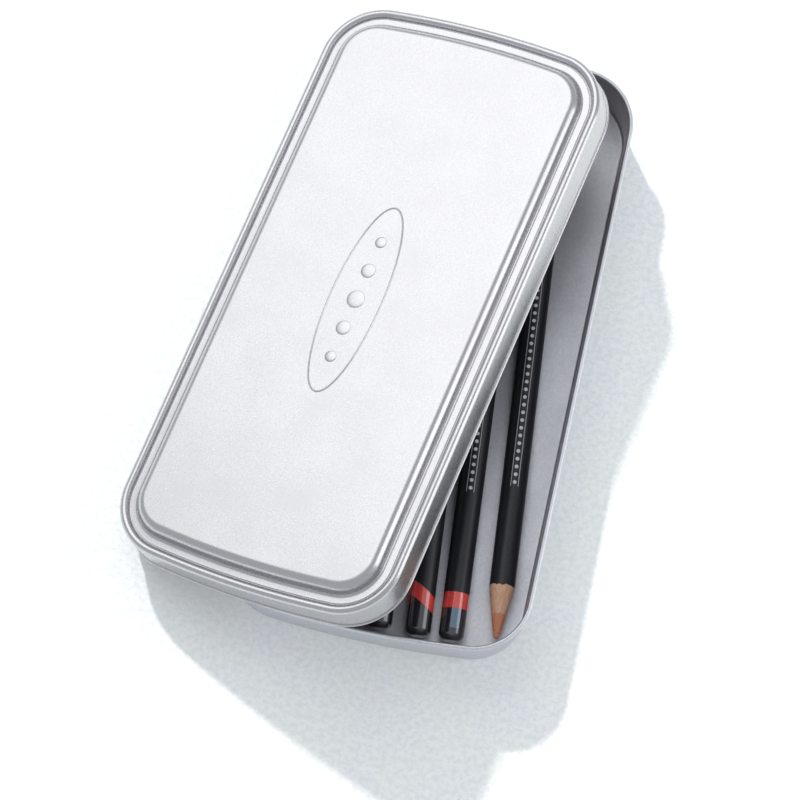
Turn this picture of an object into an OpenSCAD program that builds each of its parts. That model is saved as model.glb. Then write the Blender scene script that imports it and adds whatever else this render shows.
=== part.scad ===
// A flat two-piece pencil tin of drawn sheet metal with six round pencils lying in its tray.
// The lid lies askew on the tray: its two short hems rest on the tray's end rims, and its
// panel leans on the tray's left rim. Origin: centre of the tray's underside, +Z up,
// +Y along the tray to its far end.

/* [Tray] */
// Outside width across the rolled rim
tray_w = 91; // [84:1:104]
// Outside length over the two bowed ends
tray_l = 186.4; // [180:0.2:200]
// Height from the underside to the top of the rim
tray_h = 19; // [15:0.5:25]
// Corner radius at the outside of the rim
corner_r = 17.6; // [12:0.2:24]
// How far each short end bows out past its corners
end_bow = 3.5; // [2:0.1:6]
// Diameter of the rolled rim
rim_d = 1.4; // [1:0.1:2]
// How far the wall leans in from the rim to the base
wall_draft = 0.6; // [0.4:0.1:1.6]
// Outside radius of the edge between wall and base
base_r = 1.1; // [0.8:0.1:3]

/* [Sheet] */
// Thickness of the sheet metal
sheet_t = 0.35; // [0.25:0.05:0.5]
// Clearance between the tray's rim and the lid's skirt when the tin is closed
lid_fit = 0.25; // [0.2:0.05:0.5]

/* [Lid] */
// Height from the hem to the top of the panel
lid_h = 13.5; // [12.5:0.5:16]
// Height from the hem to the top of the bead
bead_h = 10.6; // [9:0.1:10.8]
// Width of the bead that runs round the shoulder
bead_w = 2.8; // [2.2:0.1:3.2]
// Radius of the valley inside the bead
valley_r = 0.3; // [0.2:0.05:0.5]
// Width of the flat ledge between the valley and the shoulder
ledge_w = 1.5; // [1:0.1:2.5]
// How far the ledge lies below the top of the bead
ledge_drop = 1.15; // [0.9:0.05:1.5]
// Radius where the ledge turns up into the shoulder
cove_r = 1; // [0.8:0.1:1.6]
// Slope of the shoulder against the ledge, degrees
shoulder_slope = 72; // [60:1:80]
// Radius where the shoulder rolls over into the panel
shoulder_r = 2.8; // [2:0.1:3.4]
// Diameter of the small hem rolled outwards along the skirt's edge
hem_d = 0.8; // [0.8:0.1:1]

/* [Pencils] */
// Barrel diameter
pencil_d = 7.6; // [7:0.1:8]
// Length from the point to the dipped end
pencil_l = 172; // [165:0.5:174]
// Core diameter
core_d = 3.6; // [2.5:0.1:4.5]
// Clearance of the glued core in its groove
core_fit = 0.05; // [0.02:0.01:0.1]
// Length of the sharpened cone
point_l = 15.5; // [12:0.5:20]
// Diameter of the blunt tip of the core
tip_d = 1.6; // [0.6:0.1:2]
// Radius of the rounded edge of the dipped end
dip_r = 2.2; // [1:0.1:2.6]

/* [Resting places] */
// Gap at which loose pieces rest on each other
seat_gap = 0.3; // [0.2:0.05:0.5]
// Turn of the lid against the tray, seen from above, degrees
lid_turn = -10.5; // [-13:0.1:-8]
// Place of the lid's centre across the tray, as a share of the tray's width
lid_across = -0.212; // [-0.24:0.001:-0.2]
// Place of the lid's centre along the tray, as a share of the tray's length
lid_along = 0.009; // [0:0.001:0.02]
// Distance from the lid's centre line to its end hems' seats, as a share of the tray's width
hem_seat = 0.041; // [0.03:0.001:0.05]
// Distance from the end hems' seats to the panel's seat, as a share of the tray's width
lean_span = 0.465; // [0.45:0.001:0.49]

/* [Hidden] */
corner_steps = 10;
end_steps = 6;
arc_steps = 6;
rim_steps = 12;
bead_steps = 6;
fold_steps = 3;
hem_steps = 5;
shoulder_steps = 5;
round_fn = 48;
flat_margin = 1.2;
rim_r = rim_d / 2;
hem_r = hem_d / 2;
bead_r = bead_w / 2;

// Lid, from the tray's size and the fit
lid_w = tray_w + 2 * (lid_fit + sheet_t);
lid_l = tray_l + 2 * (lid_fit + sheet_t);
lid_r = corner_r + lid_fit + sheet_t;
bead_z = bead_h - bead_r;
ledge_z = bead_h - ledge_drop;
cove_u = bead_w + 2 * valley_r + ledge_w;
roll_z = lid_h - shoulder_r;
slope_rise = lid_h - ledge_z - (cove_r + shoulder_r) * (1 - cos(shoulder_slope));
slope_run = slope_rise / tan(shoulder_slope);
panel_u = cove_u + (cove_r + shoulder_r) * sin(shoulder_slope) + slope_run;

// Tray wall, as insets from the rim's outside
wall_step = 0.25;
wall_u = rim_r + wall_step;
draft_angle = atan(wall_draft / (tray_h - rim_r - base_r));
base_u = wall_u + wall_draft + base_r;
tray_flat_u = base_u + flat_margin;

// Lid at rest
lean = asin((lid_h - sheet_t) / (lean_span * tray_w));
lid_at = [lid_across * tray_w, lid_along * tray_l,
  tray_h + seat_gap - hem_seat * tray_w * sin(lean)];

// Pencils: [place of the near end across the tray and along it, as shares of the tray's width
// and length, turn from the tray's length in degrees, 1 if the point is near]
pencil_z = sheet_t + seat_gap + pencil_d / 2;
pencil_1_at = [0.405, -0.446, 5.1, 1];
pencil_2_at = [0.264, -0.466, 4.6, 0];
pencil_3_at = [0.156, -0.469, 5, 0];
pencil_4_at = [0.029, -0.47, 5, 0];
pencil_5_at = [-0.094, -0.468, 4.7, 0];
pencil_6_at = [-0.233, -0.469, 3.6, 0];

// Points of an arc about c, from angle a to angle b
function arc(c, r, a, b, n = arc_steps) =
  [for (i = [0:n]) c + r * [cos(a + (b - a) * i / n), sin(a + (b - a) * i / n)]];

// The same arc without its first point, to carry on from where a path stands
function arc_on(c, r, a, b, n = arc_steps) =
  [for (i = [1:n]) c + r * [cos(a + (b - a) * i / n), sin(a + (b - a) * i / n)]];

function reversed(list) = [for (i = [len(list) - 1:-1:0]) list[i]];

// The outline's short end is an arc of this radius, with its centre on the long axis
function end_radius(w) = (w * w / 4 + end_bow * end_bow) / (2 * end_bow);
function end_centre(w, l) = l / 2 - end_radius(w);
function corner_x(w, r) = w / 2 - r;
function corner_y(w, l, r) =
  end_centre(w, l) + sqrt(pow(end_radius(w) - r, 2) - pow(corner_x(w, r), 2));
// Half the angle that the end's arc spans between its two corners
function end_half(w, r) = asin(corner_x(w, r) / (end_radius(w) - r));

// Stations round a corner or an end: [centre x, centre y, radius, direction that faces outwards]
function stations(x, y, r, a, b, n) = [for (i = [0:n]) [x, y, r, a + (b - a) * i / n]];

// The far half of the outline: a corner, the bowed end without its two end points, a corner
function far_frames(w, l, r) =
  let (x = corner_x(w, r), y = corner_y(w, l, r), half = end_half(w, r), step = 2 * half / end_steps)
  concat(
    stations(x, y, r, 0, 90 - half, corner_steps),
    stations(0, end_centre(w, l), end_radius(w), 90 - half + step, 90 + half - step, end_steps - 2),
    stations(-x, y, r, 90 + half, 180, corner_steps));

function frames(w, l, r) = concat(far_frames(w, l, r),
  [for (f = far_frames(w, l, r)) [-f[0], -f[1], f[2], f[3] + 180]]);

// A closed shell: the profile, drawn as [inset, height] from the inner top edge round to the
// inner bottom edge, carried round the outline and closed by the panel's two faces
module shell_round(w, l, r, profile) {
  turn = frames(w, l, r);
  n = len(turn);
  m = len(profile);
  polyhedron(
    points = [for (f = turn, p = profile)
      [f[0] + (f[2] - p[0]) * cos(f[3]), f[1] + (f[2] - p[0]) * sin(f[3]), p[1]]],
    faces = concat(
      [for (i = [0:n - 1], j = [0:m - 2]) let (k = (i + 1) % n)
        [i * m + j, k * m + j, k * m + j + 1, i * m + j + 1]],
      [[for (i = [n - 1:-1:0]) i * m]],
      [[for (i = [0:n - 1]) i * m + m - 1]]));
}

// The inside of the tray's sheet, from the floor up the wall
function tray_inside() = concat(
  [[tray_flat_u, sheet_t]],
  arc([base_u, base_r], base_r - sheet_t, 270, 180 + draft_angle));

// The rolled rim, from the inside of the wall over the top to the outside
function tray_rim() =
  arc([rim_r, tray_h - rim_r], rim_r, -acos((wall_u + sheet_t - rim_r) / rim_r),
    360 - acos((wall_u - rim_r) / rim_r), rim_steps);

// The outside of the same sheet, down to the underside
function tray_outside() = concat(
  arc([base_u, base_r], base_r, 180 + draft_angle, 270),
  [[tray_flat_u, 0]]);

module tray() {
  color("silver")
    shell_round(tray_w, tray_l, corner_r, concat(tray_inside(), tray_rim(), tray_outside()));
}

// The outside of the lid's sheet, from the hem over the bead, valley, ledge and shoulder
function lid_outside() = concat(
  arc([bead_r, bead_z], bead_r, 180, 0, bead_steps),
  arc_on([bead_w + valley_r, bead_z], valley_r, 180, 320, fold_steps),
  [[cove_u - ledge_w, ledge_z]],
  arc([cove_u, ledge_z + cove_r], cove_r, 270, 270 + shoulder_slope, fold_steps),
  arc([panel_u, roll_z], shoulder_r, 90 + shoulder_slope, 90, shoulder_steps));

// The inside of the same sheet, one thickness further in
function lid_inside() = concat(
  arc([bead_r, bead_z], bead_r - sheet_t, 180, 0, bead_steps),
  arc_on([bead_w + valley_r, bead_z], valley_r + sheet_t, 180, 270, fold_steps),
  [[cove_u - ledge_w + valley_r, ledge_z - sheet_t]],
  arc([cove_u, ledge_z + cove_r], cove_r + sheet_t, 270, 270 + shoulder_slope, fold_steps),
  arc([panel_u, roll_z], shoulder_r - sheet_t, 90 + shoulder_slope, 90, shoulder_steps));

// The hem rolls outwards and meets the inside of the skirt flush
function lid_hem() =
  arc([sheet_t - hem_r, hem_r], hem_r, acos((hem_r - sheet_t) / hem_r), 360, hem_steps);

module lid_shell() {
  shell_round(lid_w, lid_l, lid_r, concat(reversed(lid_outside()), lid_hem(), lid_inside()));
}

// Lays the lid askew: its end hems on the end rims, its panel leaning on the left rim
module at_lid_rest() {
  translate(lid_at) rotate([0, 0, lid_turn]) rotate([0, -lean, 0]) children();
}

module lid() {
  color("silver") at_lid_rest() lid_shell();
}

// A sharpened round rod along +Y with its point at the origin
module pencil_rod() {
  rotate([-90, 0, 0]) rotate_extrude($fn = round_fn) polygon(concat(
    [[0, 0], [tip_d / 2, 0], [pencil_d / 2, point_l]],
    arc([pencil_d / 2 - dip_r, pencil_l - dip_r], dip_r, 0, 90),
    [[0, pencil_l]]));
}

module core_rod(d) {
  rotate([-90, 0, 0]) translate([0, 0, -1]) cylinder(d = d, h = pencil_l + 1 - dip_r, $fn = round_fn);
}

module core_solid() {
  intersection() {
    pencil_rod();
    core_rod(core_d);
  }
}

// One of the two glued halves of the wooden casing; side is 1 or -1
module slat_solid(side) {
  intersection() {
    difference() {
      pencil_rod();
      core_rod(core_d + 2 * core_fit);
    }
    translate([side > 0 ? 0 : -pencil_d, -1, -pencil_d]) cube([pencil_d, pencil_l + 2, 2 * pencil_d]);
  }
}

// Lays a pencil in the tray; one that shows its dipped end is turned end for end
module at_pencil(place) {
  translate([place[0] * tray_w, place[1] * tray_l, pencil_z]) rotate([0, 0, place[2]])
    translate([0, place[3] > 0 ? 0 : pencil_l, 0]) rotate([0, 0, place[3] > 0 ? 0 : 180]) children();
}

module slat(place, side) {
  color([0.16, 0.16, 0.17]) at_pencil(place) slat_solid(side);
}

module core(place, tint) {
  color(tint) at_pencil(place) core_solid();
}

tray();
lid();
slat(pencil_1_at, -1);  // pencil_1_left_slat
slat(pencil_1_at, 1);  // pencil_1_right_slat
core(pencil_1_at, [0.76, 0.45, 0.31]);  // pencil_1_core
slat(pencil_2_at, -1);  // pencil_2_left_slat
slat(pencil_2_at, 1);  // pencil_2_right_slat
core(pencil_2_at, [0.35, 0.47, 0.56]);  // pencil_2_core
slat(pencil_3_at, -1);  // pencil_3_left_slat
slat(pencil_3_at, 1);  // pencil_3_right_slat
core(pencil_3_at, [0.30, 0.32, 0.30]);  // pencil_3_core
slat(pencil_4_at, -1);  // pencil_4_left_slat
slat(pencil_4_at, 1);  // pencil_4_right_slat
core(pencil_4_at, [0.36, 0.40, 0.34]);  // pencil_4_core
slat(pencil_5_at, -1);  // pencil_5_left_slat
slat(pencil_5_at, 1);  // pencil_5_right_slat
core(pencil_5_at, [0.42, 0.30, 0.24]);  // pencil_5_core
slat(pencil_6_at, -1);  // pencil_6_left_slat
slat(pencil_6_at, 1);  // pencil_6_right_slat
core(pencil_6_at, [0.50, 0.50, 0.52]);  // pencil_6_core
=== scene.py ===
"""A flat drawn-metal pencil tin whose lid lies askew over six round pencils."""

import math
from functools import partial

import bmesh
import bpy
import numpy as np
from mathutils import Matrix, Vector


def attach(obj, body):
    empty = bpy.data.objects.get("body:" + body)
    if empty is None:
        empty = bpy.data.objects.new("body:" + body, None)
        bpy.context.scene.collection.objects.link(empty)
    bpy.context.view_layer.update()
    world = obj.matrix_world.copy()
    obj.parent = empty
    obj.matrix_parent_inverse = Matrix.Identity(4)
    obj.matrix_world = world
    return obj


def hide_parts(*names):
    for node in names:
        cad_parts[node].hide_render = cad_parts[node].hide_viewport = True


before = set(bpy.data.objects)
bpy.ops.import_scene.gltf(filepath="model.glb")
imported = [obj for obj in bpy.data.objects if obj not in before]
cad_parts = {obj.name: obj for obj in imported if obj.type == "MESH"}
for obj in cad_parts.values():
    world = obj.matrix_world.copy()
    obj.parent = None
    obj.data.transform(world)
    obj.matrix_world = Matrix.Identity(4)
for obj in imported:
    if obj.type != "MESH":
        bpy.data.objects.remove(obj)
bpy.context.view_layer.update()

# ---------------------------------------------------------------- sizes, in millimetres
MM = 0.001
TRAY_WIDTH, TRAY_LENGTH, TRAY_HEIGHT = 91.0, 186.4, 19.0
CORNER_RADIUS, END_BOW = 17.6, 3.5
RIM_RADIUS, WALL_STEP, WALL_DRAFT, BASE_RADIUS = 0.7, 0.25, 0.6, 1.1
SHEET, LID_FIT, SEAT_GAP = 0.35, 0.25, 0.3
LID_HEIGHT, BEAD_HEIGHT, BEAD_RADIUS = 13.5, 10.6, 1.4
VALLEY_RADIUS, LEDGE_WIDTH, LEDGE_DROP = 0.3, 1.5, 1.15
COVE_RADIUS, SHOULDER_SLOPE, SHOULDER_RADIUS = 1.0, math.radians(72), 2.8
HEM_RADIUS = 0.4
# two rings of the sheet beside the bend where it turns flat
FLAT_START, FLAT_MARGIN = 0.3, 1.2

PENCIL_RADIUS, PENCIL_LENGTH = 3.8, 172.0
PENCIL_AXIS_HEIGHT = SHEET + SEAT_GAP + PENCIL_RADIUS
CORE_RADIUS, TIP_RADIUS, TIP_ROUND = 1.8, 0.8, 0.45
POINT_LENGTH, DIP_RADIUS = 15.5, 2.2

# the lid's place and lean, as shares of the tray's width, and LID_ALONG of its length
LID_ACROSS, LID_ALONG, HEM_SEAT, LEAN_SPAN = -0.212, 0.009, 0.041, 0.465
LID_TURN = math.radians(-10.5)
LID_LEAN = math.asin((LID_HEIGHT - SHEET) / (LEAN_SPAN * TRAY_WIDTH))
LID_PLACE = (
    LID_ACROSS * TRAY_WIDTH,
    LID_ALONG * TRAY_LENGTH,
    TRAY_HEIGHT + SEAT_GAP - HEM_SEAT * TRAY_WIDTH * math.sin(LID_LEAN),
)

# ---------------------------------------------------------------- steps of the curves
CORNER_STEPS, END_STEPS = 28, 28
BASE_STEPS, RIM_STEPS, HEM_STEPS = 10, 24, 12
# bead, valley, cove and shoulder, on the outside and the inside of the lid's sheet
OUTSIDE_STEPS, INSIDE_STEPS = (16, 8, 10, 16), (12, 6, 8, 10)
PENCIL_SIDES, DIP_STEPS, TIP_STEPS = 64, 8, 5
# edges sharper than this stay sharp, in degrees
SHELL_CREASE, PENCIL_CREASE, ORNAMENT_CREASE = 50, 35, 60


# ---------------------------------------------------------------- node helpers
def set_or_link(tree, socket, value):
    """Links a socket to a result, or gives it a plain value."""
    if isinstance(value, bpy.types.NodeSocket):
        tree.links.new(value, socket)
    elif socket.type == "RGBA":
        socket.default_value = (*value[:3], 1)
    else:
        socket.default_value = value


def add(tree, kind, inputs=None, **settings):
    """A node with its settings, and its inputs linked or set by name or number."""
    made = tree.nodes.new(kind)
    for name, value in settings.items():
        setattr(made, name, value)
    for name, value in (inputs or {}).items():
        set_or_link(tree, made.inputs[name], value)
    return made


def first(tree, kind, inputs=None, **settings):
    """A new node's first result."""
    return add(tree, kind, inputs, **settings).outputs[0]


def maths(tree, operation, *values):
    """One Math node's result."""
    return first(tree, "ShaderNodeMath", dict(enumerate(values)), operation=operation)


def joined(tree, *pieces):
    """Pieces of geometry joined to one."""
    made = tree.nodes.new("GeometryNodeJoinGeometry")
    for piece in pieces:
        tree.links.new(piece, made.inputs[0])
    return made.outputs[0]


LENGTH, FINISH, GEOMETRY = "NodeSocketFloat", "NodeSocketMaterial", "NodeSocketGeometry"


def geometry_tree(name, inputs):
    """A Geometry Nodes group with named inputs; gives the tree, its inputs and its output."""
    tree = bpy.data.node_groups.new(name, "GeometryNodeTree")
    for label, kind in inputs.items():
        tree.interface.new_socket(label, in_out="INPUT", socket_type=kind)
    tree.interface.new_socket("Geometry", in_out="OUTPUT", socket_type=GEOMETRY)
    given = tree.nodes.new("NodeGroupInput").outputs
    result = tree.nodes.new("NodeGroupOutput").inputs[0]
    return tree, given, result


def placed(name, data):
    """A new object in the scene."""
    made = bpy.data.objects.new(name, data)
    bpy.context.scene.collection.objects.link(made)
    return made


def make_with(tree, name, base, values):
    """Runs a tree on a base mesh and turns the result into one plain mesh object."""
    source = placed(name + "_source", base)
    modifier = source.modifiers.new("shape", "NODES")
    modifier.node_group = tree
    for item in tree.interface.items_tree:
        if item.in_out == "INPUT" and item.name in values:
            modifier[item.identifier] = values[item.name]
    bpy.context.view_layer.update()
    evaluated = source.evaluated_get(bpy.context.evaluated_depsgraph_get())
    mesh = bpy.data.meshes.new_from_object(evaluated)
    bpy.data.objects.remove(source)
    mesh.name = name
    return placed(name, mesh)


def drawn_line(name, points):
    """A mesh that is one open line, from points in millimetres as (across, height)."""
    mesh = bpy.data.meshes.new(name)
    spots = [(-across * MM, -height * MM, 0) for across, height in points]
    mesh.from_pydata(spots, [(i, i + 1) for i in range(len(spots) - 1)], [])
    return mesh


def outward_and_smooth(mesh, crease, fill_rings=False):
    """Turns the faces outwards and makes them smooth, with edges above the crease sharp.

    Open rings can be filled with flat faces first."""
    work = bmesh.new()
    work.from_mesh(mesh)
    if fill_rings:
        bmesh.ops.holes_fill(work, edges=work.edges, sides=0)
    bmesh.ops.recalc_face_normals(work, faces=work.faces)
    if work.calc_volume(signed=True) < 0:
        bmesh.ops.reverse_faces(work, faces=work.faces)
    work.to_mesh(mesh)
    work.free()
    mesh.shade_smooth()
    mesh.set_sharp_from_angle(angle=math.radians(crease))


# ---------------------------------------------------------------- the bowed outline and its sweep
OUTLINE_INPUTS = {
    "Width": LENGTH,
    "Length": LENGTH,
    "Corner radius": LENGTH,
    "End bow": LENGTH,
}
TOUCHING = 1e-6  # points closer than this, in metres, become one


def outline_tree():
    """The tin's outline: four round corners and two bowed ends."""
    tree, given, result = geometry_tree("bowed_outline", OUTLINE_INPUTS)
    m, make = partial(maths, tree), partial(first, tree)
    width, length, radius, bow = (given[name] for name in OUTLINE_INPUTS)
    half_width = m("MULTIPLY", width, 0.5)
    squares = m("ADD", m("MULTIPLY", half_width, half_width), m("MULTIPLY", bow, bow))
    end_radius = m("DIVIDE", squares, m("MULTIPLY", bow, 2.0))
    end_y = m("SUBTRACT", m("MULTIPLY", length, 0.5), end_radius)
    corner_x = m("SUBTRACT", half_width, radius)
    reach = m("SUBTRACT", end_radius, radius)
    rise = m("SUBTRACT", m("MULTIPLY", reach, reach), m("MULTIPLY", corner_x, corner_x))
    corner_y = m("ADD", end_y, m("SQRT", rise))
    half_angle = m("ARCSINE", m("DIVIDE", corner_x, reach))
    whole_angle = m("MULTIPLY", half_angle, 2.0)
    quarter = m("SUBTRACT", math.pi / 2, half_angle)

    def bend(x, y, bend_radius, start, sweep, steps):
        curve = make(
            "GeometryNodeCurveArc",
            {
                "Resolution": steps,
                "Radius": bend_radius,
                "Start Angle": start,
                "Sweep Angle": sweep,
            },
        )
        place = make("ShaderNodeCombineXYZ", {"X": x, "Y": y})
        return make("GeometryNodeTransform", {"Geometry": curve, "Translation": place})

    left_x, left_start = m("MULTIPLY", corner_x, -1.0), m("ADD", half_angle, math.pi / 2)
    far = joined(
        tree,
        bend(corner_x, corner_y, radius, 0.0, quarter, CORNER_STEPS),
        bend(0.0, end_y, end_radius, quarter, whole_angle, END_STEPS),
        bend(left_x, corner_y, radius, left_start, quarter, CORNER_STEPS),
    )
    near = make("GeometryNodeTransform", {"Geometry": far, "Rotation": (0, 0, math.pi)})
    both = joined(tree, far, near)
    dots = make("GeometryNodeCurveToPoints", {"Curve": both}, mode="EVALUATED")
    single = make("GeometryNodeMergeByDistance", {"Geometry": dots, "Distance": TOUCHING})
    where = add(tree, "ShaderNodeSeparateXYZ", {0: make("GeometryNodeInputPosition")}).outputs
    order = m("ARCTAN2", where["Y"], where["X"])
    line = make("GeometryNodePointsToCurves", {"Points": single, "Weight": order})
    closed = make("GeometryNodeSetSplineCyclic", {"Geometry": line, "Cyclic": True})
    upright = make("GeometryNodeSetCurveNormal", {"Curve": closed}, mode="Z_UP")
    tree.links.new(upright, result)
    return tree


def shell_tree(outline):
    """Carries a profile round the outline."""
    inputs = {"Geometry": GEOMETRY, **OUTLINE_INPUTS, "Finish": FINISH}
    tree, given, result = geometry_tree("drawn_shell", inputs)
    make = partial(first, tree)
    sizes = {name: given[name] for name in OUTLINE_INPUTS}
    path = make("GeometryNodeGroup", sizes, node_tree=outline)
    profile = make("GeometryNodeMeshToCurve", {"Mesh": given["Geometry"]})
    wall = make("GeometryNodeCurveToMesh", {"Curve": path, "Profile Curve": profile})
    finished = make("GeometryNodeSetMaterial", {"Geometry": wall, "Material": given["Finish"]})
    tree.links.new(finished, result)
    return tree


def arc(centre, radius, start, end, steps):
    """Points of an arc, drawn as (inset, height), angles in degrees."""
    angles = np.radians(np.linspace(start, end, steps + 1))
    x, y = centre
    return [(x + radius * math.cos(a), y + radius * math.sin(a)) for a in angles]


def tray_profile():
    """The tray's sheet, from the inside of its base over the rim to its underside."""
    wall_inset = RIM_RADIUS + WALL_STEP
    draft = math.degrees(math.atan(WALL_DRAFT / (TRAY_HEIGHT - RIM_RADIUS - BASE_RADIUS)))
    base_inset = wall_inset + WALL_DRAFT + BASE_RADIUS
    start, flat = base_inset + FLAT_START, base_inset + FLAT_MARGIN
    inner = math.degrees(math.acos((wall_inset + SHEET - RIM_RADIUS) / RIM_RADIUS))
    outer = math.degrees(math.acos((wall_inset - RIM_RADIUS) / RIM_RADIUS))
    base = (base_inset, BASE_RADIUS)
    rim = (RIM_RADIUS, TRAY_HEIGHT - RIM_RADIUS)
    points = [(flat, SHEET), (start, SHEET)]
    points += arc(base, BASE_RADIUS - SHEET, 270, 180 + draft, BASE_STEPS)
    points += arc(rim, RIM_RADIUS, -inner, 360 - outer, RIM_STEPS)
    points += arc(base, BASE_RADIUS, 180 + draft, 270, BASE_STEPS)
    return points + [(start, 0), (flat, 0)]


def lid_profile():
    """The lid's sheet, from the top of its panel over bead and hem to its inside."""
    bead = (BEAD_RADIUS, BEAD_HEIGHT - BEAD_RADIUS)
    valley = (2 * BEAD_RADIUS + VALLEY_RADIUS, bead[1])
    ledge = BEAD_HEIGHT - LEDGE_DROP
    ledge_start = 2 * BEAD_RADIUS + 2 * VALLEY_RADIUS
    cove_inset = ledge_start + LEDGE_WIDTH
    cove = (cove_inset, ledge + COVE_RADIUS)
    slope = math.degrees(SHOULDER_SLOPE)
    bends = COVE_RADIUS + SHOULDER_RADIUS
    rise = LID_HEIGHT - ledge - bends * (1 - math.cos(SHOULDER_SLOPE))
    run = bends * math.sin(SHOULDER_SLOPE) + rise / math.tan(SHOULDER_SLOPE)
    panel_inset = cove_inset + run
    roll = (panel_inset, LID_HEIGHT - SHOULDER_RADIUS)

    def face(depth, valley_end, ledge_inset, steps):
        """One face of the sheet, at a depth below its outside."""
        bead_steps, valley_steps, cove_steps, roll_steps = steps
        top = LID_HEIGHT - depth
        points = arc(bead, BEAD_RADIUS - depth, 180, 0, bead_steps)
        points += arc(valley, VALLEY_RADIUS + depth, 180, valley_end, valley_steps)[1:]
        points += [(ledge_inset, ledge - depth)]
        points += arc(cove, COVE_RADIUS + depth, 270, 270 + slope, cove_steps)
        points += arc(roll, SHOULDER_RADIUS - depth, 90 + slope, 90, roll_steps)
        return points + [(panel_inset + FLAT_START, top), (panel_inset + FLAT_MARGIN, top)]

    outside = face(0, 320, ledge_start, OUTSIDE_STEPS)
    inside = face(SHEET, 270, ledge_start + VALLEY_RADIUS, INSIDE_STEPS)
    meet = math.degrees(math.acos((HEM_RADIUS - SHEET) / HEM_RADIUS))
    hem = arc((SHEET - HEM_RADIUS, HEM_RADIUS), HEM_RADIUS, meet, 360, HEM_STEPS)
    return outside[::-1] + hem + inside


def drawn_shell(name, tree, grow, profile, finish):
    """One pressed sheet: profile swept round the outline, closed by two flat faces.

    It stands out from the tray's outline by grow on every side."""
    values = {
        "Width": (TRAY_WIDTH + 2 * grow) * MM,
        "Length": (TRAY_LENGTH + 2 * grow) * MM,
        "Corner radius": (CORNER_RADIUS + grow) * MM,
        "End bow": END_BOW * MM,
        "Finish": finish,
    }
    made = make_with(tree, name, drawn_line(name + "_profile", profile), values)
    outward_and_smooth(made.data, SHELL_CREASE, fill_rings=True)
    return made


# ---------------------------------------------------------------- material helpers
# where a noise pattern's values lie for the most part
NOISE_LOW, NOISE_HIGH = 0.3, 0.7
# sockets of a Mix node that mixes colours
MIX_FACTOR, MIX_A, MIX_B, MIX_RESULT = 0, 6, 7, 2


def material(name):
    """A material with a plain shader; gives the material, its tree and the shader."""
    made = bpy.data.materials.new(name)
    made.use_nodes = True
    tree = made.node_tree
    tree.nodes.clear()
    shader = tree.nodes.new("ShaderNodeBsdfPrincipled")
    add(tree, "ShaderNodeOutputMaterial", {"Surface": shader.outputs[0]})
    return made, tree, shader


def dress(tree, shader, inputs):
    """Links or sets the shader's inputs."""
    for name, value in inputs.items():
        set_or_link(tree, shader.inputs[name], value)


def object_place(tree, stretch=(1, 1, 1), turn=0.0):
    """Object coordinates for a pattern, stretched and turned about Z."""
    where = add(tree, "ShaderNodeTexCoord").outputs["Object"]
    inputs = {"Vector": where, "Scale": stretch, "Rotation": (0, 0, turn)}
    return first(tree, "ShaderNodeMapping", inputs)


def noise(tree, place, scale, detail=3.0, rough=0.6):
    """A noise pattern, with its scale in cells per metre."""
    inputs = {"Vector": place, "Scale": scale, "Detail": detail, "Roughness": rough}
    return first(tree, "ShaderNodeTexNoise", inputs)


def spread(tree, value, low, high, to_low=0.0, to_high=1.0):
    """A value carried from one range to another, and held at the ends."""
    ranges = {"From Min": low, "From Max": high, "To Min": to_low, "To Max": to_high}
    return first(tree, "ShaderNodeMapRange", {"Value": value, **ranges})


def varied(tree, pattern, low, high):
    """A noise pattern's values carried to between low and high."""
    return spread(tree, pattern, NOISE_LOW, NOISE_HIGH, low, high)


def falls(tree, value, low, high):
    """1 where value is below low and 0 where it is above high."""
    return spread(tree, value, low, high, 1.0, 0.0)


def band_mask(tree, value, low, high, soft):
    """1 where value lies between low and high, with soft edges."""
    rise = spread(tree, value, low - soft, low + soft)
    fall = falls(tree, value, high - soft, high + soft)
    return maths(tree, "MULTIPLY", rise, fall)


def mixed(tree, factor, low, high):
    """A colour between two others, by a factor."""
    inputs = {MIX_FACTOR: factor, MIX_A: low, MIX_B: high}
    return add(tree, "ShaderNodeMix", inputs, data_type="RGBA").outputs[MIX_RESULT]


def darker(colour, share):
    return tuple(share * part for part in colour)


def bump(tree, shader, height, strength, distance):
    inputs = {"Height": height, "Strength": strength, "Distance": distance}
    dress(tree, shader, {"Normal": first(tree, "ShaderNodeBump", inputs)})


# ---------------------------------------------------------------- materials
# noise scales, in cells per metre
TRAY_GRAIN, LID_GRAIN, METAL_CLOUD, DRAWN_GRAIN = 1300.0, 2600.0, 60.0, 2200.0
LACQUER_GRAIN, RAGGED_GRAIN, WOOD_GRAIN, CORE_GRAIN = 3000.0, 900.0, 1800.0, 1500.0
PAPER_TOOTH, PAPER_WASH = 620.0, 45.0
DRAWN_STRETCH, WOOD_STRETCH = (1.0, 0.06, 1.0), (1.0, 0.08, 1.0)

TRAY_SILVER, LID_SILVER = (0.735, 0.75, 0.79), (0.635, 0.632, 0.648)
TRAY_ROUGHNESS, LID_ROUGHNESS = (0.44, 0.50), (0.26, 0.30)
RED, RED_LIGHT = (0.95, 0.055, 0.05), (0.98, 0.11, 0.09)
BLACK, BLACK_LIGHT = (0.015, 0.016, 0.020), (0.030, 0.031, 0.038)
WOOD_LIGHT, WOOD_DARK = (0.98, 0.63, 0.43), (0.78, 0.41, 0.25)
FOIL = (0.80, 0.80, 0.82)
# the paper's tooth: its tops painted as lit, its hollows painted in shade, tinted bluish or
# greenish at random
PAPER_LIT = (0.83, 0.86, 0.86)
PAPER_SHADE_BLUISH, PAPER_SHADE_GREENISH = (0.70, 0.745, 0.78), (0.71, 0.77, 0.735)
WHITE = (1.0, 1.0, 1.0)

# on a pencil, in millimetres: from its dipped end
RED_BAND, CHIP_START = (9.4, 14.2), 3.4
# from its point
RUBBED_END, FOIL_ZONE = (6.0, 6.4), (45.6, 127.2)
# from the top line of the barrel, and from a bead's middle
HAIR_LINE, FOIL_BEAD, BEAD_PITCH = (1.05, 1.2), (0.52, 0.6), 2.4
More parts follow.
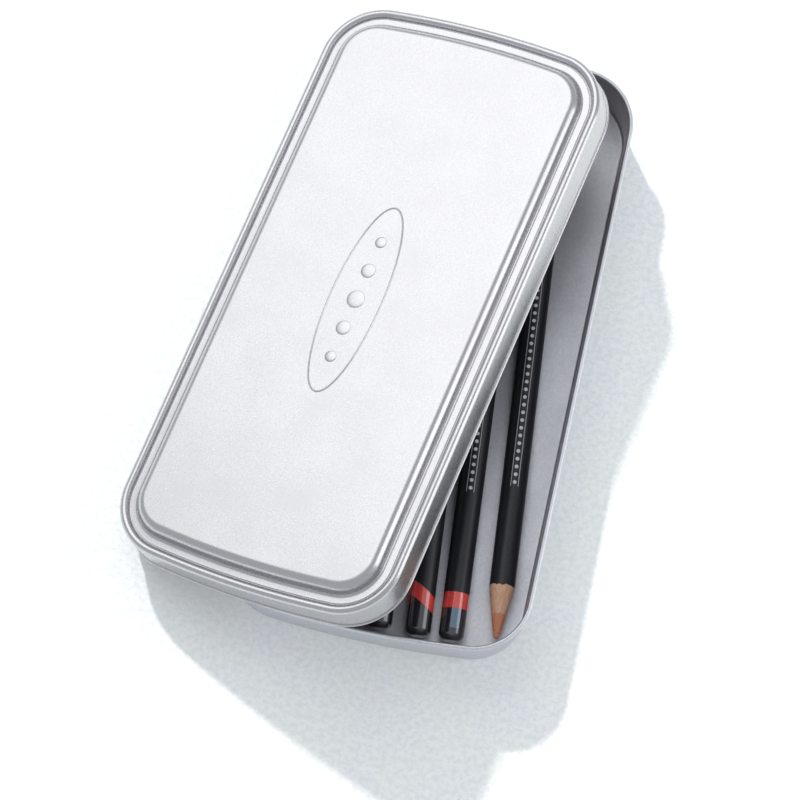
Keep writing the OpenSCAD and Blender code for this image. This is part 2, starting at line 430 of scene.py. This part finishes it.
# round the barrel from its top line
CHIP_ARC = (math.radians(-12), math.radians(32))


def satin_metal(name, silver, grain_scale, roughness, turn=0.0):
    """Drawn tinplate: cool silver, a fine even grain and very slight waviness."""
    made, tree, shader = material(name)
    m = partial(maths, tree)
    place = object_place(tree, turn=turn)
    stretched = object_place(tree, DRAWN_STRETCH, turn)
    grain = noise(tree, place, grain_scale, detail=4.0)
    cloud = noise(tree, place, METAL_CLOUD, detail=2.0, rough=0.5)
    drawn = noise(tree, stretched, DRAWN_GRAIN, detail=2.0, rough=0.5)
    tone = mixed(tree, cloud, darker(silver, 0.97), silver)
    dull = spread(tree, grain, 0.35, 0.65, to_high=0.5)
    rough = m("ADD", varied(tree, grain, -0.03, 0.03), varied(tree, cloud, *roughness))
    colour = mixed(tree, dull, tone, darker(silver, 0.8))
    dress(tree, shader, {"Base Color": colour, "Metallic": 1.0, "Roughness": rough})
    height = m("ADD", m("MULTIPLY", grain, 0.6), m("MULTIPLY", drawn, 0.4))
    bump(tree, shader, height, strength=0.25, distance=0.00003)
    return made


def lacquered_casing(name, chip_colour, slant, core):
    """Matte black lacquer on wood, with a glossy dipped end, a red band and foil beads."""
    made, tree, shader = material(name)
    m = partial(maths, tree)
    marks = add(tree, "ShaderNodeTexCoord").outputs["UV"]
    uv = add(tree, "ShaderNodeSeparateXYZ", {0: marks}).outputs
    around = m("MULTIPLY", m("SUBTRACT", uv["X"], 0.5), 2 * math.pi)
    across = m("MULTIPLY", around, PENCIL_RADIUS)
    along = m("MULTIPLY", uv["Y"], PENCIL_LENGTH)
    from_end = m("SUBTRACT", PENCIL_LENGTH, along)
    place = object_place(tree)
    fine = noise(tree, place, LACQUER_GRAIN)
    ragged = noise(tree, place, RAGGED_GRAIN)
    streak = noise(tree, object_place(tree, WOOD_STRETCH), WOOD_GRAIN)

    # bare sharpened wood, with pigment rubbed on it round the core
    edge = m("ADD", along, varied(tree, ragged, -0.35, 0.35))
    bare = falls(tree, edge, POINT_LENGTH - 0.05, POINT_LENGTH + 0.1)
    shade = m("MULTIPLY", m("ADD", streak, fine), 0.5)
    wood = mixed(tree, spread(tree, shade, 0.42, 0.6), WOOD_LIGHT, WOOD_DARK)
    rubbed = m("ADD", along, varied(tree, ragged, -1.1, 1.1))
    rubbed = m("SUBTRACT", rubbed, m("COSINE", around))
    wood = mixed(tree, falls(tree, rubbed, *RUBBED_END), wood, darker(core, 0.86))

    # lacquer with the red band, and a chip in the dipped end
    slanted = m("ADD", from_end, m("MULTIPLY", m("SINE", around), slant))
    red_low, red_high = RED_BAND
    red = band_mask(tree, slanted, red_low, red_high, soft=0.08)
    dipped = falls(tree, slanted, red_high - 0.1, red_high + 0.1)
    black = mixed(tree, spread(tree, fine, 0.35, 0.65), BLACK, BLACK_LIGHT)
    colour = mixed(tree, red, black, mixed(tree, fine, RED, RED_LIGHT))
    if chip_colour is not None:
        chip = band_mask(tree, around, *CHIP_ARC, soft=0.03)
        chip = m("MULTIPLY", chip, band_mask(tree, from_end, CHIP_START, red_low, soft=0.08))
        colour = mixed(tree, chip, colour, chip_colour)

    # foil beads between two hair lines along the top of the barrel
    line = band_mask(tree, m("ABSOLUTE", across), *HAIR_LINE, soft=0.04)
    step = m("SUBTRACT", m("MODULO", along, BEAD_PITCH), BEAD_PITCH / 2)
    away = m("SQRT", m("ADD", m("MULTIPLY", step, step), m("MULTIPLY", across, across)))
    bead = falls(tree, away, *FOIL_BEAD)
    foil_zone = band_mask(tree, along, *FOIL_ZONE, soft=0.05)
    foil = m("MULTIPLY", m("MAXIMUM", line, bead), foil_zone)
    colour = mixed(tree, foil, colour, FOIL)

    rough = m("SUBTRACT", varied(tree, fine, 0.34, 0.42), m("MULTIPLY", dipped, 0.2))
    looks = {
        "Base Color": mixed(tree, bare, colour, wood),
        "Roughness": m("ADD", rough, m("MULTIPLY", bare, 0.35)),
        "Coat Weight": dipped,
        "Coat Roughness": 0.12,
        "Coat IOR": 1.8,
    }
    dress(tree, shader, looks)
    height = m("ADD", fine, m("MULTIPLY", streak, 0.6))
    bump(tree, shader, height, strength=0.3, distance=0.00004)
    return made


def pressed_core(name, light):
    """Pressed charcoal and pigment: dull, with crumbs and pits."""
    made, tree, shader = material(name)
    crumbs = noise(tree, object_place(tree), CORE_GRAIN, detail=5.0, rough=0.7)
    colour = mixed(tree, spread(tree, crumbs, 0.35, 0.65), light, darker(light, 0.72))
    dress(tree, shader, {"Base Color": colour, "Roughness": 0.8})
    bump(tree, shader, crumbs, strength=0.6, distance=0.00012)
    return made


# ---------------------------------------------------------------- pencils
# Each one's near end across and along, as shares of the tray's width and length, its turn in
# degrees, whether its point is near, the colour of the chip in its dipped end, the slant of
# its red band in millimetres, and the colour of its core.
PENCILS = [
    (0.405, -0.446, 5.1, True, (0.72, 0.28, 0.15), 0.0, (0.93, 0.37, 0.21)),
    (0.264, -0.466, 4.6, False, (0.12, 0.23, 0.33), 0.0, (0.14, 0.26, 0.36)),
    (0.156, -0.469, 5.0, False, None, 2.6, (0.09, 0.11, 0.10)),
    (0.029, -0.470, 5.0, False, (0.10, 0.14, 0.10), 0.0, (0.12, 0.15, 0.11)),
    (-0.094, -0.468, 4.7, False, (0.16, 0.08, 0.05), 0.0, (0.17, 0.09, 0.05)),
    (-0.233, -0.469, 3.6, False, (0.22, 0.22, 0.23), 0.0, (0.24, 0.24, 0.25)),
]
# rings along the cone and the barrel, as shares of their lengths
CASING_CONE, BARREL = (0, 0.15, 0.35, 0.6, 0.8, 0.95, 1), (0.1, 0.35, 0.6, 0.85)
CORE_CONE = (0, 0.25, 0.5, 0.75, 0.97)
# how the core sits in the casing's end, and the rings beside the edges
SOCKET_DEPTH, SOCKET_STEP, SOCKET_ROOM = 0.6, 0.55, 0.15
BARREL_START, END_RING = 0.3, 1.0
TIP_STEP, CORE_STEP, CORE_RISE, CORE_DEPTH = 0.05, 0.05, 0.02, 0.5
ON_AXIS = 1e-9  # metres


def turned_piece(name, profile, point_near):
    """A piece turned about the pencil's axis, with a map of its angle and its length.

    The profile runs from pole to pole as (radius, distance from the point)."""
    vertices, faces, rings = [], [], []
    for radius, along in profile:
        y = along if point_near else PENCIL_LENGTH - along
        start = len(vertices)
        if radius == 0:
            vertices.append((0, y, 0))
        else:
            for k in range(PENCIL_SIDES):
                angle = 2 * math.pi * k / PENCIL_SIDES - math.pi
                vertices.append((radius * math.sin(angle), y, radius * math.cos(angle)))
        rings.append(range(start, len(vertices)))
    for a, b in zip(rings, rings[1:]):
        for k in range(PENCIL_SIDES):
            n = (k + 1) % PENCIL_SIDES
            if len(a) == 1:
                faces.append((a[0], b[k], b[n]))
            elif len(b) == 1:
                faces.append((a[k], b[0], a[n]))
            else:
                faces.append((a[k], b[k], b[n], a[n]))
    mesh = bpy.data.meshes.new(name)
    mesh.from_pydata([Vector(v) * MM for v in vertices], [], faces)
    map_round_and_along(mesh, point_near)
    outward_and_smooth(mesh, PENCIL_CREASE)
    return placed(name, mesh)


def map_round_and_along(mesh, point_near):
    """Gives each face's corners the angle round the pencil and the distance from its point."""
    layer = mesh.uv_layers.new(name="round_and_along")
    for face in mesh.polygons:
        spots = [mesh.vertices[mesh.loops[loop].vertex_index].co for loop in face.loop_indices]
        angles = [math.atan2(v.x, v.z) if v.xz.length > ON_AXIS else None for v in spots]
        known = [a for a in angles if a is not None]
        middle = math.atan2(sum(map(math.sin, known)), sum(map(math.cos, known)))
        for loop, spot, angle in zip(face.loop_indices, spots, angles):
            angle = middle if angle is None else angle
            while angle - middle > math.pi:
                angle -= 2 * math.pi
            while angle - middle < -math.pi:
                angle += 2 * math.pi
            y = spot.y / MM
            along = y if point_near else PENCIL_LENGTH - y
            layer.data[loop].uv = (angle / (2 * math.pi) + 0.5, along / PENCIL_LENGTH)


def core_reach():
    """How far from the point the core comes out of the wood."""
    slope = (PENCIL_RADIUS - TIP_RADIUS) / POINT_LENGTH
    return (CORE_RADIUS - TIP_RADIUS) / slope


def between(start, end, share):
    """A point of the line between two points of a profile."""
    return tuple(a + (b - a) * share for a, b in zip(start, end))


def casing_profile():
    reach = core_reach()
    start, end = (CORE_RADIUS, reach), (PENCIL_RADIUS, POINT_LENGTH)
    socket = [(0, reach + SOCKET_DEPTH), (CORE_RADIUS - SOCKET_ROOM, reach + SOCKET_STEP)]
    cone = [between(start, end, share) for share in CASING_CONE]
    last = (PENCIL_RADIUS, PENCIL_LENGTH - DIP_RADIUS)
    barrel = [(PENCIL_RADIUS, POINT_LENGTH + BARREL_START)]
    barrel += [between(end, last, share) for share in BARREL]
    dip_centre = (PENCIL_RADIUS - DIP_RADIUS, PENCIL_LENGTH - DIP_RADIUS)
    dip = arc(dip_centre, DIP_RADIUS, 0, 90, DIP_STEPS)
    return socket + cone + barrel + dip + [(END_RING, PENCIL_LENGTH), (0, PENCIL_LENGTH)]


def core_profile():
    reach = core_reach()
    tip = arc((TIP_RADIUS - TIP_ROUND, TIP_ROUND), TIP_ROUND, 270, 360, TIP_STEPS)
    start, end = (TIP_RADIUS, TIP_ROUND + TIP_STEP), (CORE_RADIUS, reach)
    cone = [between(start, end, share) for share in CORE_CONE]
    root = [(CORE_RADIUS - CORE_STEP, reach + CORE_RISE), (0, reach + CORE_DEPTH)]
    return [(0, 0)] + tip + cone + root


for number, (across, along, turn, point_near, chip, slant, core) in enumerate(PENCILS, 1):
    body = f"pencil_{number}"
    spot = Vector((across * TRAY_WIDTH, along * TRAY_LENGTH, PENCIL_AXIS_HEIGHT)) * MM
    lie = Matrix.Translation(spot) @ Matrix.Rotation(math.radians(turn), 4, "Z")
    casing = turned_piece(body + "_casing", casing_profile(), point_near)
    inner = turned_piece(body + "_colour_core", core_profile(), point_near)
    casing_look = lacquered_casing(body + "_lacquer_and_wood", chip, slant, core)
    inner_look = pressed_core(body + "_pressed_core", core)
    for piece, look in ((casing, casing_look), (inner, inner_look)):
        piece.data.materials.append(look)
        piece.data.transform(lie)
        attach(piece, body)
    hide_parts(body + "_left_slat", body + "_right_slat")
    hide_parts(body + "_core")

# ---------------------------------------------------------------- tray and lid
shell = shell_tree(outline_tree())
tray_finish = satin_metal("tray_satin_tin", TRAY_SILVER, TRAY_GRAIN, TRAY_ROUGHNESS)
tray = drawn_shell("tray_shell", shell, 0.0, tray_profile(), tray_finish)
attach(tray, "tray")
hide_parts("tray")

lid_finish = satin_metal("lid_satin_tin", LID_SILVER, LID_GRAIN, LID_ROUGHNESS, LID_TURN)
lid = drawn_shell("lid_shell", shell, LID_FIT + SHEET, lid_profile(), lid_finish)
lid_rest = (
    Matrix.Translation(Vector(LID_PLACE) * MM)
    @ Matrix.Rotation(LID_TURN, 4, "Z")
    @ Matrix.Rotation(-LID_LEAN, 4, "Y")
)
lid.data.transform(lid_rest)
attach(lid, "lid")
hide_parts("lid")

# ---------------------------------------------------------------- raised ornament on the lid
OVAL_LENGTH, OVAL_WIDTH = 61.0, 16.5
RIDGE_WIDTH, RAISED_HEIGHT, SUNK = 0.6, 0.24, 0.12
DOTS, DOT_PITCH, DOT_RADIUS, DOT_FALL = 5, 9.5, 2.8, 0.5
ORNAMENT_PLACE = (-0.1, -0.8, LID_HEIGHT)
CIRCLE_STEPS, OVAL_STEPS, RIDGE_STEPS, DOT_SIDES, DOT_RINGS = 160, 200, 12, 40, 24


def ornament_tree():
    """A raised line round an oval, with a row of low round dots along its middle."""
    names = ("Length", "Width", "Dot pitch", "Dot radius", "Dot fall", "Dot height")
    inputs = {"Geometry": GEOMETRY, **dict.fromkeys(names, LENGTH), "Finish": FINISH}
    tree, given, result = geometry_tree("raised_ornament", inputs)
    m, make = partial(maths, tree), partial(first, tree)
    xyz = partial(make, "ShaderNodeCombineXYZ")
    middle = (DOTS - 1) / 2

    circle = make("GeometryNodeCurvePrimitiveCircle", {"Resolution": CIRCLE_STEPS, "Radius": 0.5})
    size = xyz({"X": given["Width"], "Y": given["Length"], "Z": 1.0})
    oval = make("GeometryNodeTransform", {"Geometry": circle, "Scale": size})
    even = make("GeometryNodeResampleCurve", {0: oval, "Count": OVAL_STEPS})
    path = make("GeometryNodeSetCurveNormal", {"Curve": even}, mode="Z_UP")
    profile = make("GeometryNodeMeshToCurve", {"Mesh": given["Geometry"]})
    closed = make("GeometryNodeSetSplineCyclic", {"Geometry": profile, "Cyclic": True})
    ridge = make("GeometryNodeCurveToMesh", {"Curve": path, "Profile Curve": closed})

    start = xyz({"Y": m("MULTIPLY", given["Dot pitch"], -middle)})
    step = xyz({"Y": given["Dot pitch"]})
    spots = {"Count": DOTS, "Start Location": start, "Offset": step}
    row = make("GeometryNodeMeshLine", spots)
    away = m("ABSOLUTE", m("SUBTRACT", make("GeometryNodeInputIndex"), middle))
    radius = m("SUBTRACT", given["Dot radius"], m("MULTIPLY", away, given["Dot fall"]))
    dot_size = xyz({"X": radius, "Y": radius, "Z": given["Dot height"]})
    ball = {"Segments": DOT_SIDES, "Rings": DOT_RINGS, "Radius": 1.0}
    dot = make("GeometryNodeMeshUVSphere", ball)
    each = {"Points": row, "Instance": dot, "Scale": dot_size}
    dots = make("GeometryNodeInstanceOnPoints", each)

    real = make("GeometryNodeRealizeInstances", {0: joined(tree, ridge, dots)})
    finished = make("GeometryNodeSetMaterial", {"Geometry": real, "Material": given["Finish"]})
    tree.links.new(finished, result)
    return tree


def ridge_profile():
    """A low round ridge whose foot is sunk in the panel."""
    shares = [i / RIDGE_STEPS for i in range(RIDGE_STEPS + 1)]
    half = RIDGE_WIDTH / 2
    points = [
        (RIDGE_WIDTH * (s - 0.5), RAISED_HEIGHT * 0.5 * (1 - math.cos(2 * math.pi * s)))
        for s in shares
    ]
    return points + [(half, -SUNK), (-half, -SUNK)]


ornament = make_with(
    ornament_tree(),
    "lid_raised_oval",
    drawn_line("ridge", ridge_profile()),
    {
        "Length": OVAL_LENGTH * MM,
        "Width": OVAL_WIDTH * MM,
        "Dot pitch": DOT_PITCH * MM,
        "Dot radius": DOT_RADIUS * MM,
        "Dot fall": DOT_FALL * MM,
        "Dot height": RAISED_HEIGHT * MM,
        "Finish": lid_finish,
    },
)
outward_and_smooth(ornament.data, ORNAMENT_CREASE)
ornament.data.transform(lid_rest @ Matrix.Translation(Vector(ORNAMENT_PLACE) * MM))
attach(ornament, "lid")

# ---------------------------------------------------------------- floor
BACKDROP_LIFT = 0.15
FLOOR_HALF = 3.0  # metres


def paper_floor():
    """Pale rough paper that shows white where nothing shades it."""
    made, tree, shader = material("pale_paper")
    m = partial(maths, tree)
    place = object_place(tree)
    tooth = noise(tree, place, PAPER_TOOTH)
    wash = noise(tree, place, PAPER_WASH, detail=2.0, rough=0.5)
    # painted shade in the hollows of the paper's tooth, tinted bluish or greenish by a wash at
    # random; the tops painted as lit
    painted_hollow_shade = mixed(tree, spread(tree, wash, 0.42, 0.58), PAPER_SHADE_BLUISH, PAPER_SHADE_GREENISH)
    rays = add(tree, "ShaderNodeLightPath").outputs
    seen = m("MAXIMUM", rays["Is Glossy Ray"], rays["Is Transmission Ray"])
    seen = m("MAXIMUM", rays["Is Camera Ray"], seen)
    looks = {
        "Base Color": mixed(tree, spread(tree, tooth, 0.38, 0.62), painted_hollow_shade, PAPER_LIT),
        "Roughness": 0.9,
        "Specular IOR Level": 0.1,
        "Emission Color": WHITE,
        "Emission Strength": m("MULTIPLY", seen, BACKDROP_LIFT),
    }
    dress(tree, shader, looks)
    bump(tree, shader, tooth, strength=0.25, distance=0.0003)
    return made


floor_mesh = bpy.data.meshes.new("floor")
corners = ((-1, -1), (1, -1), (1, 1), (-1, 1))
floor_mesh.from_pydata(
    [(x * FLOOR_HALF, y * FLOOR_HALF, 0) for x, y in corners], [], [(0, 1, 2, 3)]
)
floor_mesh.materials.append(paper_floor())
floor = placed("floor", floor_mesh)

# ---------------------------------------------------------------- light
# the sky keeps one tone up to this share of the way from below to above
SKY_EVEN, SKY_TOP = 0.78, 0.99
HORIZON, OVERHEAD = (0.54, 0.55, 0.58, 1), (0.52, 0.53, 0.56, 1)

world = bpy.data.worlds.new("studio")
bpy.context.scene.world = world
world.use_nodes = True
sky = world.node_tree
sky.nodes.clear()
direction = add(sky, "ShaderNodeTexCoord").outputs["Generated"]
height = add(sky, "ShaderNodeSeparateXYZ", {0: direction}).outputs["Z"]
dome = add(sky, "ShaderNodeValToRGB", {"Fac": spread(sky, height, -1.0, 1.0)})
low, high = dome.color_ramp.elements
low.position, low.color = SKY_EVEN, HORIZON
high.position, high.color = SKY_TOP, OVERHEAD
background = first(sky, "ShaderNodeBackground", {"Color": dome.outputs[0], "Strength": 1.0})
add(sky, "ShaderNodeOutputWorld", {"Surface": background})


def lamp(name, kind, towards, distance, power, **settings):
    """A lamp that stands in one direction from the tin, in metres, and faces it."""
    data = bpy.data.lights.new(name, kind)
    data.energy = power
    for label, value in settings.items():
        setattr(data, label, value)
    made = placed(name, data)
    way = Vector(towards).normalized()
    made.location = way * distance
    made.rotation_euler = way.to_track_quat("Z", "Y").to_euler()
    return made


SUN_WARMTH = (1.03, 1.0, 0.97)
KEY, LEFT, RIGHT = (-0.469, 0.690, 0.552), (-0.361, 0.523, 0.772), (0.85, 0.1, 0.42)
key = lamp("key", "SUN", KEY, 2.0, power=2.6, angle=math.radians(2.5), color=SUN_WARMTH)
key.visible_glossy = False
lamp("left_softbox", "AREA", LEFT, 1.6, power=6.6, shape="DISK", size=1.5)
lamp("right_softbox", "AREA", RIGHT, 1.6, power=5.0, shape="RECTANGLE", size=0.7, size_y=1.6)

# ---------------------------------------------------------------- camera
AZIMUTH, ELEVATION, ROLL = math.radians(-10.49), math.radians(73.41), math.radians(1.74)
DISTANCE, TARGET = 1187.36, Vector((-6.15, -16.64, 0.0))  # millimetres
FOCAL_PIXELS, PICTURE_PIXELS = 3970.17, 800.0
SENSOR_WIDTH = 36.0
CLIP_START, CLIP_END = 0.05, 20.0  # metres

forward = Vector(
    (
        math.sin(AZIMUTH) * math.cos(ELEVATION),
        math.cos(AZIMUTH) * math.cos(ELEVATION),
        -math.sin(ELEVATION),
    )
)
level = Vector((math.cos(AZIMUTH), -math.sin(AZIMUTH), 0))
above = level.cross(forward)
right = math.cos(ROLL) * level + math.sin(ROLL) * above
up = math.cos(ROLL) * above - math.sin(ROLL) * level
camera_data = bpy.data.cameras.new("camera")
camera_data.sensor_width = SENSOR_WIDTH
camera_data.lens = FOCAL_PIXELS / PICTURE_PIXELS * SENSOR_WIDTH
camera_data.clip_start, camera_data.clip_end = CLIP_START, CLIP_END
camera = placed("camera", camera_data)
turned = Matrix((right, up, -forward)).transposed().to_4x4()
camera.matrix_world = Matrix.Translation((TARGET - forward * DISTANCE) * MM) @ turned
bpy.context.scene.camera = camera
bpy.context.scene.view_settings.view_transform = "Standard"
